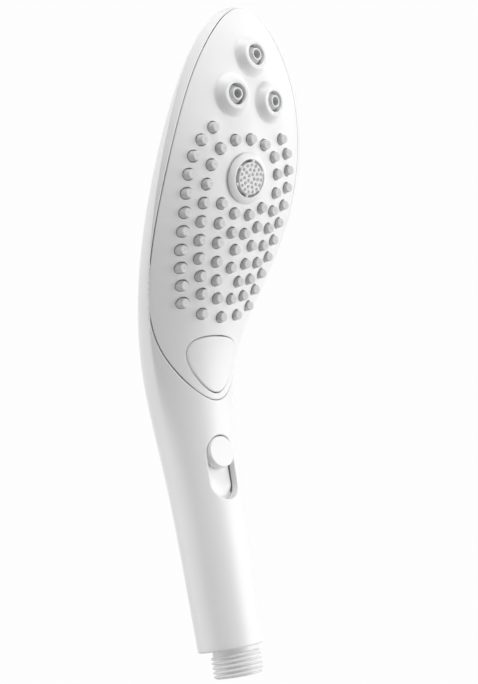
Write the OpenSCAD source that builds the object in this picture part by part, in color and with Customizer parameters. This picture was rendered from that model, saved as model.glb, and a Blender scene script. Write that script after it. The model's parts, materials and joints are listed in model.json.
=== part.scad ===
// Handheld shower head: a round handle that widens into a forward-leaning teardrop head.
// Millimetres. +Z runs up the handle, the spray face looks towards -Y, and the origin is
// the middle of the hose thread's lower end.

/* [Overall] */
// Height of the handle's lower end above the end of the thread
handle_z = 11; // [11:0.5:12]
// Height of the top of the head above the end of the thread
top_z = 261; // [258:1:264]
// How far the middle of the handle stands behind the thread's axis
handle_back = 2.4; // [2:0.1:2.4]
// Thickness of the moulded body's wall
wall = 2.4; // [2.2:0.1:2.6]

/* [Front plate] */
// Thickness of the front plate
plate_t = 2; // [1.8:0.1:2.2]
// Gap between the front plate and the body
seam_gap = 0.3; // [0.2:0.05:0.4]
// Height of the middle of the centre jets
jets_z = 193; // [192:0.5:194]
// Height of the upper whirl nozzle
top_boss_z = 239.7; // [239:0.1:240.5]
// Height of the two lower whirl nozzles
side_boss_z = 223.2; // [222.5:0.1:224]
// Distance of a lower whirl nozzle from the middle
side_boss_x = 10.1; // [9.8:0.1:10.5]
// How far a whirl nozzle's boss stands out
boss_h = 3.2; // [2.8:0.1:3.4]

/* [Nubs] */
// Radius of a nub at the plate
nub_r = 2.1; // [2:0.1:2.4]
// Radius of a nub at its tip
nub_tip_r = 1.8; // [1.6:0.1:2]
// How far a nub stands out
nub_h = 2.2; // [1.8:0.1:2.8]

/* [Thread] */
// Radius at the crests of the half-inch pipe thread
thread_r = 10.4; // [10.3:0.02:10.48]
// Distance from crest to crest
thread_pitch = 1.814; // [1.8:0.002:1.82]

/* [Travel] */
// How far the flow knob slides down
flow_travel = 12; // [10:0.5:12]

/* [Hidden] */
// Rows of a cubic B-spline, evenly spaced in height, from one pitch below the handle's end to
// one pitch above the top: half width, middle line (y), depth in front of it, depth behind it
LINES = [
    [13, 0, 13, 13], [13.5, 0, 13.5, 13.5], [14, 0, 14, 14], [14.5, 0, 14.5, 14.5],
    [15, 0, 14.5, 16.5], [18, -1.5, 14.5, 20], [24, -8.5, 14, 24], [32.5, -24.5, 13.5, 26],
    [40, -42.5, 12, 25.5], [44, -56, 9.5, 23], [46.5, -65.5, 8, 20], [48.5, -71.5, 8, 16],
    [50, -73, 8.5, 12],
];
pitch = (top_z - handle_z) / 10;
// Above this height the head closes to a dome
dome_z = 150.5;
// The front is a half ellipse up to flat_from and flattens over the next flat_over
flat_from = 89;
flat_over = 60;
flat_power = 0.9;

// Right halves of closed outlines, as B-spline control points [x, z] from lowest to highest
PLATE = [[0, 101.5], [21, 129], [32, 157.5], [37, 185], [33.5, 217], [23, 243.5], [0, 269]];
PLATE_MIDDLE = [0, 186];
CARRIER = [[0, 134], [16, 139], [28, 162], [33, 190], [29, 222], [16, 246], [0, 253]];
MAT = [[0, 134], [17, 139], [27, 160], [33, 186], [32, 206], [18, 217], [0, 213]];
MAT_MIDDLE = [0, 178];
BUTTON = [[0, 111.5], [8, 118], [14, 129], [12.5, 135.5], [0, 136]];
BUTTON_MIDDLE = [0, 125];

// Rows of nubs on the right of the middle, as B-spline control points [x, z], and their counts
OUTER_ROW = [[0.5, 217], [21, 212], [28.5, 197], [25.5, 180], [24, 164.5], [17, 149], [16.5, 133.5]];
SECOND_ROW = [[-14, 204], [-1, 209], [17.5, 204.5], [19.5, 189.5], [18.5, 177], [16.5, 164],
    [10.5, 152], [9, 138]];
THIRD_ROW = [[9, 220], [13, 182.5], [5, 149.5], [-10.5, 118.5]];
PAIRS = concat(row(OUTER_ROW, 11), [for (i = [1:10]) row(SECOND_ROW, 11)[i]], row(THIRD_ROW, 6),
    [[4, 180], [3.4, 173.2], [9.4, 144.4]]);
MIDDLE_NUBS = [[0, 207.4], [0, 167.3], [0, 160.9], [0, 143]];

jets_lean = 25;
// All nubs stand along one direction, as they leave the mould
nub_lean = 20;
top_boss_lean = 9;
side_boss_lean = 15;
side_boss_yaw = 6;
button_lean = 18;
mat_t = 1.2;
carrier_gap = 0.8;
carrier_t = 2.2;
carrier_depth = plate_t + mat_t + carrier_gap;
ring_r = 10.25;
ring_bore = 7.6;
boss_r = 5.3;
nub_gap = 0.3;
cup_r = 4.9;
cup_bore = 4.25;
whirl_pin_r = 1;
run = 0.05;

// Flow control in the handle. Depths count forwards from the plane y = 0.
slot_r = 7.3;
slot_wall = 0.5;
island_r = 5.6;
island_front = 8;
groove_depth = 6;
liner_back = 5;
knob_z = 89;
knob_r = 6.45;
knob_front = 12.3;
leg_x = 5.9;
leg_t = 0.4;
leg_w = 2;
carriage_pin_z = 84;
carriage_pin_r = 1.2;
valve_y = 3;
spool_r = 4.75;
spool_bore = 2.4;
spool_low = 65.4;
spool_high = 101;
sleeve_r = 6;
sleeve_low = 44;
sleeve_high = 109;
ring_wire = 0.75;

// Water tubes
tube_r = 5;
tube_bore = 3.8;
socket_fit = 0.05;
lower_tube_low = 31.5;
lower_tube_high = 53;
upper_tube_low = 103;
bend_z = 114;
socket_y = -31;
socket_z = 182;
tube_lean = atan((valve_y - socket_y) / (socket_z - bend_z));

// Button, bell crank, pawl rod and selector
stem_x = 9.2;
stem_r = 1.6;
stem_end = -15.2;
lug_z = -12;
crank_arm = 10;
crank_reach = 10.8;
crank_z = -17;
crank_t = 1.5;
rod_x = 7.5;
rod_t = 1.2;
rod_z = -23.5;
wheel_teeth = 18;
wheel_root = 6.2;
wheel_r = 8.8;
selector_pin_r = 2;
shaft_r = 3.95;
cover_back = -19.4;
screw_circle = 19;

// Inlet
thread_root = 9.3;
nipple_y = 1.6;
nipple_top = 40;
inlet_bore = 6.5;
poppet_stem_r = 1;

// ---- Curves and surfaces ----

function ease(t) = let (u = max(0, min(1, t))) u * u * (3 - 2 * u);

// Point at parameter t of the uniform cubic B-spline through control rows c
function spline(c, t) =
    let (i = max(0, min(floor(t), len(c) - 4)), u = t - i)
    (pow(1 - u, 3) * c[i] + (3 * pow(u, 3) - 6 * u * u + 4) * c[i + 1]
        + (-3 * pow(u, 3) + 3 * u * u + 3 * u + 1) * c[i + 2] + pow(u, 3) * c[i + 3]) / 6;

// n points evenly spaced in parameter along a B-spline
function row(c, n) = [for (k = [0:n - 1]) spline(c, (len(c) - 3) * k / (n - 1))];

// Half width, middle line, front depth and back depth at height z, moved in by inset
function section(z, inset = 0) =
    let (s = spline(LINES, (z - handle_z) / pitch),
        dome = max(0, (z - dome_z) / (top_z - inset - dome_z)),
        k = sqrt(max(0, 1 - dome * dome)))
    [(s[0] - inset) * k, s[1] + handle_back, (s[2] - inset) * k, (s[3] - 1.15 * inset) * k];

function front_power(z) = 0.5 + (flat_power - 0.5) * ease((z - flat_from) / flat_over);

// y of the front surface at x, z
function front_y(x, z) =
    let (s = section(z), u = min(1, abs(x) / s[0]))
    s[1] - s[2] * pow(max(0, 1 - u * u), front_power(z));

// Unit normal of the front surface, pointing out
function front_normal(x, z) =
    let (h = 0.2, q = 0.97 * x,
        dx = (front_y(q + h, z) - front_y(q - h, z)) / (2 * h),
        dz = (front_y(q, z + h) - front_y(q, z - h)) / (2 * h),
        n = [dx, -1, dz])
    n / norm(n);

// Point at the given depth under the front surface, along its normal or along dir
function under(x, z, depth, dir) =
    [x, front_y(x, z), z] + (is_undef(dir) ? -depth * front_normal(x, z) : depth * dir);

// Closed outline of 2 * n points from its right half's control points
function outline(h, n) =
    let (m = len(h) - 1,
        c = concat([[-h[1][0], h[1][1]]], h, [[-h[m - 1][0], h[m - 1][1]]]),
        right = [for (i = [0:n]) spline(c, m * i / n)])
    concat(right, [for (i = [n - 1:-1:1]) [-right[i][0], right[i][1]]]);

function grown(o, by, middle) =
    [for (p = o) let (d = p - middle) middle + d * (1 + by / norm(d))];

// Direction that a part set on the front points in: lean is below level, yaw towards +X
function facing(lean, yaw = 0) = [sin(yaw) * cos(lean), -cos(yaw) * cos(lean), -sin(lean)];

// Closed solid from rings of n points, lowest first
module loft(rings) {
    n = len(rings[0]);
    m = len(rings);
    points = [for (r = rings, p = r) p];
    sides = [for (j = [0:m - 2], i = [0:n - 1])
        let (a = j * n + i, b = j * n + (i + 1) % n) [a, a + n, b + n, b]];
    polyhedron(points, concat(sides, [[for (i = [0:n - 1]) i]],
        [[for (i = [n - 1:-1:0]) (m - 1) * n + i]]), convexity = 8);
}

// Rings of the body's surface moved in by inset, with n points each
function body_ring(z, inset, n) =
    let (s = section(z, inset), e = 2 * front_power(z))
    [for (i = [0:n - 1]) let (a = 360 * i / n)
        [s[0] * cos(a), s[1] + (sin(a) >= 0 ? s[3] * sin(a) : -s[2] * pow(-sin(a), e)), z]];

function body_heights(low, high) =
    concat([for (k = [0:13]) low + (dome_z - low) * k / 14],
        [for (a = [0:7.5:82.5]) dome_z + (high - dome_z) * sin(a)], [dome_z + (high - dome_z) * sin(87.5)]);

// Piece of shell between two depths under the front, inside an outline drawn in x and z
module patch(o, middle, near, far, dir, shells = [1, 0.9, 0.76, 0.58, 0.38, 0.18]) {
    n = len(o);
    m = len(shells);
    side = n * m + 1;
    function spread(depth) = concat(
        [for (s = shells, p = o) let (q = middle + s * (p - middle)) under(q[0], q[1], depth, dir)],
        [under(middle[0], middle[1], depth, dir)]);
    front = [for (j = [0:m - 2], i = [0:n - 1])
        let (a = j * n + i, b = j * n + (i + 1) % n) [a, a + n, b + n, b]];
    cap = [for (i = [0:n - 1]) [(m - 1) * n + i, n * m, (m - 1) * n + (i + 1) % n]];
    back = [for (f = concat(front, cap)) [for (k = [len(f) - 1:-1:0]) f[k] + side]];
    rim = [for (i = [0:n - 1]) let (j = (i + 1) % n) [i, j, j + side, i + side]];
    polyhedron(concat(spread(near), spread(far)), concat(front, cap, back, rim), convexity = 8);
}

// A freeform moulding: its children become one closed surface
module moulded() {
    resize([0, 0, 0]) children();
}

// Puts a child's +Z along facing(lean, yaw), with its origin on the front surface
module at_face(x, z, lean, yaw = 0) {
    translate([x, front_y(x, z), z]) rotate([90 + lean, 0, yaw]) children();
}

module at_jets() {
    at_face(0, jets_z, jets_lean) children();
}

module at_button() {
    at_face(0, BUTTON_MIDDLE[1], button_lean) children();
}

module at_boss(which) {
    if (which == "top") at_face(0, top_boss_z, top_boss_lean) children();
    if (which == "left") at_face(-side_boss_x, side_boss_z, side_boss_lean, -side_boss_yaw) children();
    if (which == "right") at_face(side_boss_x, side_boss_z, side_boss_lean, side_boss_yaw) children();
}

module at_nubs() {
    spots = concat(PAIRS, [for (p = PAIRS) [-p[0], p[1]]], MIDDLE_NUBS);
    for (p = spots) at_face(p[0], p[1], nub_lean) children();
}

// Solid of revolution about Z from [radius, z] points
module turned(points) {
    rotate_extrude($fn = 48) polygon(points);
}

module tube(r, bore, low, high) {
    turned([[bore, low], [r, low], [r, high], [bore, high]]);
}

// Helical wire about Z
module coil(r, wire, low, high, turns) {
    sides = 6;
    steps = turns * 14;
    loft([for (k = [0:steps]) let (a = 360 * turns * k / steps, z = low + (high - low) * k / steps)
        [for (i = [sides - 1:-1:0]) let (b = 360 * i / sides)
            [(r + wire * cos(b)) * cos(a), (r + wire * cos(b)) * sin(a), z + wire * sin(b)]]]);
}

// Flat bar with round ends: thick in z, from the origin to [dx, dy]
module stadium(r, length, low, high) {
    for (y = [0, length]) translate([0, y, low]) cylinder(r = r, h = high - low, $fn = 48);
    if (length > 0) translate([-r, 0, low]) cube([2 * r, length, high - low]);
}

// ---- Head ----

module body_shell() {
    color("whitesmoke") moulded() difference() {
        loft([for (z = body_heights(handle_z, top_z)) body_ring(z, 0, 44)]);
        loft([for (z = body_heights(handle_z - 1, top_z - wall)) body_ring(z, wall, 44)]);
        patch(grown(outline(PLATE, 22), seam_gap, PLATE_MIDDLE), PLATE_MIDDLE, -4, wall + 2.6);
        translate([0, -5, knob_z - flow_travel]) rotate([90, 0, 0])
            linear_extrude(15) hull() for (y = [0, flow_travel]) translate([0, y])
                circle(slot_r + 0.1, $fn = 48);
    }
}

module face_plate() {
    color("white") moulded() difference() {
        union() {
            patch(outline(PLATE, 24), PLATE_MIDDLE, 0, plate_t);
            for (b = ["top", "left", "right"]) at_boss(b)
                rotate_extrude($fn = 28) polygon([[3, -1.5], [8, -1.5], [7.2, 0.2], [6.2, 1.2],
                    [boss_r + 0.3, boss_h], [3, boss_h]]);
        }
        for (b = ["top", "left", "right"]) at_boss(b)
            translate([0, 0, -6]) cylinder(r = cup_r + 0.1, h = 12, $fn = 28);
        at_jets() translate([0, 0, -6]) cylinder(r = 9.6, h = 12, $fn = 36);
        patch(grown(outline(BUTTON, 14), 0.45, BUTTON_MIDDLE), BUTTON_MIDDLE, -4, 8,
            -facing(button_lean), [1, 0.6]);
        at_nubs() translate([0, 0, -4]) cylinder(r = nub_r + nub_gap, h = 6, $fn = 10);
    }
}

module nozzle_mat() {
    color("lightgray") moulded() {
        difference() {
            patch(outline(MAT, 16), MAT_MIDDLE, plate_t + 0.12, plate_t + mat_t,
                shells = [1, 0.8, 0.55, 0.28]);
            at_jets() translate([0, 0, -6]) cylinder(r = 9.6, h = 12, $fn = 36);
            patch(grown(outline(BUTTON, 12), 0.7, BUTTON_MIDDLE), BUTTON_MIDDLE, -4, 9,
                -facing(button_lean), [1, 0.6]);
        }
        at_nubs() translate([0, 0, -plate_t - 0.5])
            cylinder(r1 = nub_r, r2 = nub_tip_r, h = nub_h + plate_t + 0.5, $fn = 10);
    }
}

module nozzle_carrier() {
    color("silver") moulded() difference() {
        patch(outline(CARRIER, 18), PLATE_MIDDLE, carrier_depth, carrier_depth + carrier_t,
            shells = [1, 0.8, 0.55, 0.28]);
        at_jets() translate([0, 0, -10]) cylinder(r = 8.4, h = 12, $fn = 32);
        patch(grown(outline(BUTTON, 12), 0.7, BUTTON_MIDDLE), BUTTON_MIDDLE, -4, 10,
            -facing(button_lean), [1, 0.6]);
        for (b = ["top", "left", "right"]) at_boss(b) translate([0, 0, -9]) {
            cylinder(r = whirl_pin_r + 0.02, h = 12, $fn = 16);
            for (a = [30, 150, 270]) rotate(a) translate([2.8, 0, 0]) cylinder(r = 0.7, h = 12, $fn = 8);
        }
    }
}

module jet_ring() {
    color("white") at_jets() turned([[ring_bore, -3.8], [9.5, -3.8], [9.5, 0.05], [ring_r, 0.05],
        [ring_r, 0.5], [9.6, 1.1], [8.6, 1.6], [ring_bore + 0.2, 1.9], [ring_bore, 1.7]]);
}

module jet_disc() {
    color("lightgray") at_jets() difference() {
        union() {
            tube(6.6, 0, -3.6, 2.3);
            tube(ring_bore - 0.02, 6.4, -3.6, -1);
            for (k = [0:5]) rotate(25 + 60 * k)
                translate([6.4, -0.6, -1.5]) cube([1.1, 1.2, 3.1]);
        }
        for (k = [[15, 5.5], [10, 3.6], [5, 1.6]], i = [0:k[0] - 1])
            rotate(360 * i / k[0]) translate([k[1], 0, -4]) cylinder(r = 0.5, h = 8, $fn = 16);
    }
}

module whirl_cup(which) {
    color("silver") at_boss(which) turned([[cup_bore, -3.9], [5.8, -3.9], [5.8, -2.7], [cup_r, -2.7],
        [cup_r, boss_h - 0.1], [cup_bore + 0.2, boss_h - 0.1], [cup_bore, boss_h - 0.4]]);
}

module whirl_rotor(which) {
    color("gainsboro") at_boss(which) difference() {
        turned([[0, -3.6], [3.85, -3.6], [3.85, 0.4], [2.5, boss_h - 0.2], [2.5, boss_h + 0.2],
            [0, boss_h + 0.2]]);
        translate([0, 0, -4]) cylinder(r = whirl_pin_r + run, h = 1.5, $fn = 32);
        translate([0, 0, -2.1]) cylinder(r = 1.9, h = 8, $fn = 32);
        for (a = [0, 120, 240]) rotate(a) translate([2.7, -0.5, -4]) cube([2, 1, 2]);
    }
}

module whirl_pins() {
    color("gray") for (b = ["top", "left", "right"]) at_boss(b)
        translate([0, 0, -6.2]) cylinder(r = whirl_pin_r, h = 3.6, $fn = 32);
}

// ---- Water way behind the jets ----

module at_socket() {
    translate([0, socket_y, socket_z]) rotate([tube_lean, 0, 0]) children();
}

module spray_body() {
    color("silver") difference() {
        union() {
            at_jets() turned([[0, -7], [10, -7], [10, -9.6], [21, -9.6], [21, -16.6], [17, -16.6],
                [17, -11.6], [0, -11.6]]);
            difference() {
                at_socket() translate([0, 0, -9]) cylinder(r = 6.4, h = 12, $fn = 48);
                at_jets() translate([0, 0, -24]) cylinder(r = 22, h = 7.5, $fn = 48);
                at_jets() translate([0, 0, -20]) cylinder(r = 18.5, h = 20, $fn = 48);
            }
        }
        at_jets() translate([0, 0, -13]) cylinder(r = selector_pin_r, h = 3.2, $fn = 32);
        for (a = [0:60:300]) at_jets() rotate(a) translate([6, 0, -12]) cylinder(r = 1.4, h = 6, $fn = 24);
        for (a = [0:60:300], b = [20, 40]) at_jets() rotate(a + b)
            translate([12.5, 0, -12]) cylinder(r = 1.4, h = 6, $fn = 24);
        for (a = [45:90:315]) at_jets() rotate(a)
            translate([screw_circle, 0, -18]) cylinder(r = 0.9, h = 6, $fn = 24);
        at_socket() translate([0, 0, -10]) cylinder(r = tube_r + socket_fit, h = 10, $fn = 48);
        at_socket() translate([0, 0, -5]) cylinder(r = 2.2, h = 12, $fn = 32);
    }
}

module manifold_seal() {
    color("dimgray") difference() {
        at_jets() tube(21, 17, -17, -16.6);
        for (a = [45:90:315]) at_jets() rotate(a)
            translate([screw_circle, 0, -18]) cylinder(r = 0.9, h = 3, $fn = 24);
        at_socket() translate([0, 0, -10]) cylinder(r = tube_r + socket_fit, h = 10, $fn = 48);
    }
}

module manifold_cover() {
    color("silver") difference() {
        at_jets() tube(21, shaft_r + run, cover_back, -17);
        for (a = [45:90:315]) at_jets() rotate(a)
            translate([screw_circle, 0, -20]) cylinder(r = 0.9, h = 4, $fn = 24);
        at_socket() translate([0, 0, -10]) cylinder(r = 5.4, h = 10.4, $fn = 48);
    }
}

module spray_screws() {
    color("gray") at_jets() for (a = [45:90:315]) rotate(a) translate([screw_circle, 0, 0]) difference() {
        turned([[0, -20.6], [1.6, -20.6], [1.6, cover_back], [0.88, cover_back],
            [0.88, -13], [0, -12.3]]);
        for (t = [0, 90]) rotate(t) translate([-1.1, -0.2, -20.8]) cube([2.2, 0.4, 0.8]);
    }
}

module selector_pin() {
    color("gray") at_jets() translate([0, 0, -13]) cylinder(r = selector_pin_r, h = 3.2, $fn = 32);
}

module selector_disc() {
    color("lightsteelblue") at_jets() difference() {
        turned([[0, -11.9], [16, -11.9], [16, -14.4], [6, -15], [shaft_r, -15.6], [shaft_r, -19.8],
            [3, -19.8], [3, -22], [0, -22]]);
        translate([0, 0, -13.4]) cylinder(r = selector_pin_r + run, h = 2, $fn = 32);
        for (a = [0:60:300]) rotate(a) {
            translate([6, 0, -16]) cylinder(r = 1.5, h = 6, $fn = 24);
            translate([12.5, 0, -16]) cylinder(r = 1.5, h = 6, $fn = 24);
        }
    }
}

module ratchet_wheel() {
    color("slategray") at_jets() union() {
        tube(wheel_root, 3, -21.8, -20.2);
        for (k = [0:wheel_teeth - 1]) rotate(360 * (k + 0.5) / wheel_teeth)
            translate([wheel_root - 0.3, -0.45, -21.8]) cube([wheel_r - wheel_root + 0.3, 0.9, 1.6]);
    }
}

// ---- Button and its linkage ----

module select_button() {
    color("white") union() {
        patch(outline(BUTTON, 12), BUTTON_MIDDLE, -0.5, 2.4, -facing(button_lean), [1, 0.94, 0.6, 0.25]);
        at_button() for (x = [-stem_x, stem_x])
            translate([x, 0, stem_end]) cylinder(r = stem_r, h = 12.3, $fn = 32);
    }
}

module button_guide() {
    color("silver") at_button() difference() {
        union() {
            translate([-6.5, -3.5, -8]) cube([13, 7, 1.5]);
            for (s = [-1, 1]) {
                translate([s * 6.05 - 0.45, -3.5, lug_z - 1.8]) cube([0.9, 7, 7.3]);
                translate([s * 8.75 - 2.85, -3.5, lug_z - 1.8]) cube([5.7, 7, 1.8]);
            }
        }
        for (x = [-stem_x, stem_x]) translate([x, 0, lug_z - 3])
            cylinder(r = stem_r + run, h = 5, $fn = 32);
    }
}

module button_springs() {
    color("gray") at_button() for (x = [-stem_x, stem_x]) translate([x, 0, 0])
        coil(2.2, 0.3, lug_z + 0.3, -6.2, 4);
}

module bell_crank() {
    color("slategray") at_button() translate([stem_x, crank_arm, crank_z]) rotate([90, 0, 90])
        difference() {
            union() {
                translate([0, 0, -crank_t / 2]) cylinder(r = 2.2, h = crank_t, $fn = 40);
                translate([-crank_arm - 1.5, -1, -crank_t / 2]) cube([crank_arm + 1.5, 2, crank_t]);
                translate([-1, -crank_reach - 0.9, -crank_t / 2]) cube([2, crank_reach + 0.9, crank_t]);
                translate([0, -crank_reach, -crank_t / 2 - 1.5]) cylinder(r = 0.7, h = 2, $fn = 24);
            }
            translate([0, 0, -3]) cylinder(r = 1.2 + run, h = 6, $fn = 32);
        }
}

module crank_pin() {
    color("gray") at_button() translate([stem_x, crank_arm, crank_z]) rotate([0, 90, 0])
        translate([0, 0, -2]) cylinder(r = 1.2, h = 5, $fn = 32);
}

// Ends of the pawl rod: where the crank's peg pushes it, and where it meets the wheel
crank_end = [0, BUTTON_MIDDLE[1]]
    + [front_y(0, BUTTON_MIDDLE[1]), 0]
    + crank_arm * [-sin(button_lean), cos(button_lean)]
    - (crank_z - crank_reach) * [cos(button_lean), sin(button_lean)];
wheel_end = [front_y(0, jets_z), jets_z] - rod_z * [cos(jets_lean), sin(jets_lean)];
rod_length = norm(wheel_end - crank_end);
rod_lean = atan2(crank_end[0] - wheel_end[0], wheel_end[1] - crank_end[1]);

module pawl_rod() {
    color("slategray") difference() {
        union() {
            translate([rod_x - rod_t / 2, crank_end[0], crank_end[1]]) rotate([rod_lean, 0, 0]) {
                translate([0, -0.7, 2]) cube([rod_t, 1.4, rod_length - 2]);
                translate([0, -2, -2]) cube([rod_t, 4, 5]);
            }
            at_jets() translate([rod_x - 0.4, -0.4, rod_z]) cube([0.8, 0.8, 3]);
        }
        translate([0, crank_end[0], crank_end[1]]) rotate([rod_lean, 0, 0])
            translate([0, 0.18, 0]) rotate([0, 90, 0]) cylinder(r = 1.2, h = 20, $fn = 32);
    }
}

// ---- Flow control ----

// Frame at the lower end of the knob's travel: local Y up the handle, local Z forwards
module at_slot() {
    translate([0, 0, knob_z - flow_travel]) rotate([90, 0, 0]) children();
}

module slot_liner() {
    color("white") intersection() {
        translate([0, handle_back, 60]) cylinder(r = 14.5, h = 50, $fn = 96);
        at_slot() difference() {
            stadium(slot_r, flow_travel, liner_back, 16);
            difference() {
                stadium(slot_r - slot_wall, flow_travel, groove_depth, 17);
                stadium(island_r, flow_travel, groove_depth - 1, island_front);
            }
            for (s = [-1, 1]) translate([s * (slot_r - slot_wall + island_r) / 2 - 0.55, -2.4, 4])
                cube([1.1, flow_travel + 4.8, 4]);
        }
    }
}

module flow_knob() {
    color("white") translate([0, 0, knob_z]) rotate([90, 0, 0]) union() {
        turned([[0, island_front + 0.4], [knob_r, island_front + 0.4], [knob_r, island_front + 2],
            [knob_r - 0.4, knob_front - 0.4], [knob_r - 0.8, knob_front], [0, knob_front]]);
        for (s = [-1, 1]) translate([s * (leg_x + leg_t / 2) - leg_t / 2, -leg_w / 2, 4.2])
            cube([leg_t, leg_w, 5]);
    }
}

module flow_carriage() {
    color("silver") translate([0, 0, knob_z]) rotate([90, 0, 0]) union() {
        translate([-leg_x - leg_t, -8, 3.6]) cube([2 * (leg_x + leg_t), 11, 0.6]);
        translate([-3, carriage_pin_z - knob_z - 3, 3.35]) cube([6, 6, 0.5]);
        translate([0, carriage_pin_z - knob_z, -0.2]) cylinder(r = carriage_pin_r, h = 4, $fn = 32);
    }
}

module at_valve() {
    translate([0, valve_y, 0]) children();
}

module flow_spool() {
    color("lightgray") at_valve() difference() {
        turned([[0, spool_low - 4], [1.5, spool_low - 4], [2.6, spool_low], [spool_r, spool_low],
            [spool_r, 69 - ring_wire], [3.25, 69 - ring_wire], [3.25, 69 + ring_wire],
            [spool_r, 69 + ring_wire], [spool_r, 99 - ring_wire], [3.25, 99 - ring_wire],
            [3.25, 99 + ring_wire], [spool_r, 99 + ring_wire], [spool_r, spool_high],
            [spool_bore, spool_high], [spool_bore, spool_low + 0.5], [0, spool_low + 0.5]]);
        for (a = [45:90:315]) rotate(a) translate([0, 0, spool_low + 1.6]) rotate([90, 0, 0])
            cylinder(r = 0.9, h = 6, $fn = 24);
        translate([0, 0, carriage_pin_z]) rotate([90, 0, 0])
            cylinder(r = carriage_pin_r + run, h = 6, $fn = 32);
    }
}

module spool_rings() {
    color("dimgray") at_valve() for (z = [69, 99]) translate([0, 0, z])
        rotate_extrude($fn = 48) translate([spool_r - ring_wire, 0]) circle(ring_wire - 0.01, $fn = 24);
}

module valve_sleeve() {
    color("silver") at_valve() difference() {
        turned([[tube_r + socket_fit, sleeve_low], [sleeve_r, sleeve_low], [sleeve_r, sleeve_high],
            [tube_r + socket_fit, sleeve_high], [tube_r + socket_fit, upper_tube_low - 0.5],
            [spool_r + run, upper_tube_low - 0.5], [spool_r + run, lower_tube_high],
            [tube_r + socket_fit, lower_tube_high]]);
        translate([-1.7, -8, carriage_pin_z - flow_travel - 1.7]) cube([3.4, 6, flow_travel + 3.4]);
    }
}

module lower_tube() {
    color("gainsboro") at_valve() turned([[tube_bore, lower_tube_low], [tube_r, lower_tube_low],
        [tube_r, lower_tube_high], [2.9, lower_tube_high], [2.9, 49], [tube_bore, 48]]);
}

module upper_run(r, reach) {
    at_valve() translate([0, 0, upper_tube_low - reach])
        cylinder(r = r, h = bend_z - upper_tube_low + reach, $fn = 48);
    at_valve() translate([0, 0, bend_z]) sphere(r = r + 0.2, $fn = 48);
    at_valve() translate([0, 0, bend_z]) rotate([tube_lean, 0, 0])
        cylinder(r = r, h = norm([valve_y - socket_y, socket_z - bend_z]) + reach, $fn = 48);
}

module upper_tube() {
    color("gainsboro") difference() {
        upper_run(tube_r, 0);
        upper_run(tube_bore, 1);
    }
}

module tube_rings() {
    color("dimgray") {
        for (z = [nipple_top + 0.6, sleeve_low - 0.6, sleeve_high + 0.6]) at_valve() translate([0, 0, z])
            rotate_extrude($fn = 48) translate([tube_r + 0.61, 0]) circle(0.6, $fn = 24);
        at_socket() translate([0, 0, -9.6])
            rotate_extrude($fn = 48) translate([tube_r + 0.61, 0]) circle(0.6, $fn = 24);
    }
}

// ---- Inlet ----

module inlet_nipple() {
    crest = 0.36;
    color("white") difference() {
        union() {
            turned([[0, 0], [thread_root, 0], [thread_root, handle_z - 0.6], [9, handle_z - 0.6],
                [9, handle_z + 1], [0, handle_z + 1]]);
            turned([[9, 0], [thread_r, 0], [thread_r, crest], [thread_root, 0.75 + crest / 2],
                [9, 0.75 + crest / 2]]);
            for (k = [1:4]) translate([0, 0, crest / 2 + thread_pitch * k])
                turned([[9, -0.75], [thread_root, -0.75], [thread_r, -crest / 2], [thread_r, crest / 2],
                    [thread_root, 0.75], [9, 0.75]]);
            translate([0, handle_back, handle_z + 0.05]) cylinder(r = 10.7, h = 3, $fn = 64);
            translate([0, nipple_y, handle_z + 1]) cylinder(r = 9.2, h = nipple_top - handle_z - 1, $fn = 64);
        }
        translate([0, 0, -1]) cylinder(r = 7.6, h = 4, $fn = 48);
        translate([0, 0, -1]) cylinder(r = inlet_bore, h = 25, $fn = 48);
        at_valve() translate([0, 0, 22]) cylinder(r = 3.4, h = 20, $fn = 48);
        at_valve() translate([0, 0, lower_tube_low])
            cylinder(r = tube_r + socket_fit, h = 20, $fn = 48);
    }
}

module filter_screen() {
    color("silver") difference() {
        turned([[0, 1.2], [6.4, 0.6], [7.5, 0.6], [7.5, 2.8], [6.6, 2.8], [6.4, 1.4], [0, 2]]);
        for (k = [[1, 0], [6, 1.6], [12, 3.2], [18, 4.8]], i = [0:k[0] - 1])
            rotate(360 * i / k[0]) translate([k[1], 0, 0]) cylinder(r = 0.5, h = 4, $fn = 16);
    }
}

module check_seat() {
    color("lightgray") turned([[3.6, 4], [inlet_bore - 0.05, 4], [inlet_bore - 0.05, 8], [3.6, 8]]);
}

module check_poppet() {
    color("orangered") turned([[0, 8.4], [4.6, 8.4], [5, 8.8], [5, 9.8], [poppet_stem_r, 10.2],
        [poppet_stem_r, 20.7], [0, 20.7]]);
}

module check_guide() {
    color("lightgray") difference() {
        union() {
            tube(inlet_bore - 0.05, 5.6, 17.5, 20);
            tube(2, poppet_stem_r + run, 17.5, 20);
            for (a = [0:120:240]) rotate(a) translate([1.8, -0.6, 17.5]) cube([4, 1.2, 2.5]);
        }
        translate([0, 0, 17]) cylinder(r = poppet_stem_r + run, h = 4, $fn = 32);
    }
}

module check_spring() {
    color("gray") coil(2.6, 0.25, 10.35, 17.2, 4);
}

// ---- Drawing ----

body_shell();
face_plate();
nozzle_mat();
nozzle_carrier();
jet_ring();
jet_disc();
whirl_cup("top");  // whirl_cup_top
whirl_cup("left");  // whirl_cup_left
whirl_cup("right");  // whirl_cup_right
whirl_rotor("top");  // whirl_rotor_top
whirl_rotor("left");  // whirl_rotor_left
whirl_rotor("right");  // whirl_rotor_right
whirl_pins();
spray_body();
spray_screws();
manifold_cover();
manifold_seal();
selector_disc();
selector_pin();
ratchet_wheel();
select_button();
button_guide();
button_springs();
bell_crank();
crank_pin();
pawl_rod();
slot_liner();
flow_knob();
flow_carriage();
flow_spool();
spool_rings();
valve_sleeve();
lower_tube();
upper_tube();
tube_rings();
inlet_nipple();
filter_screen();
check_seat();
check_poppet();
check_guide();
check_spring();
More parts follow.
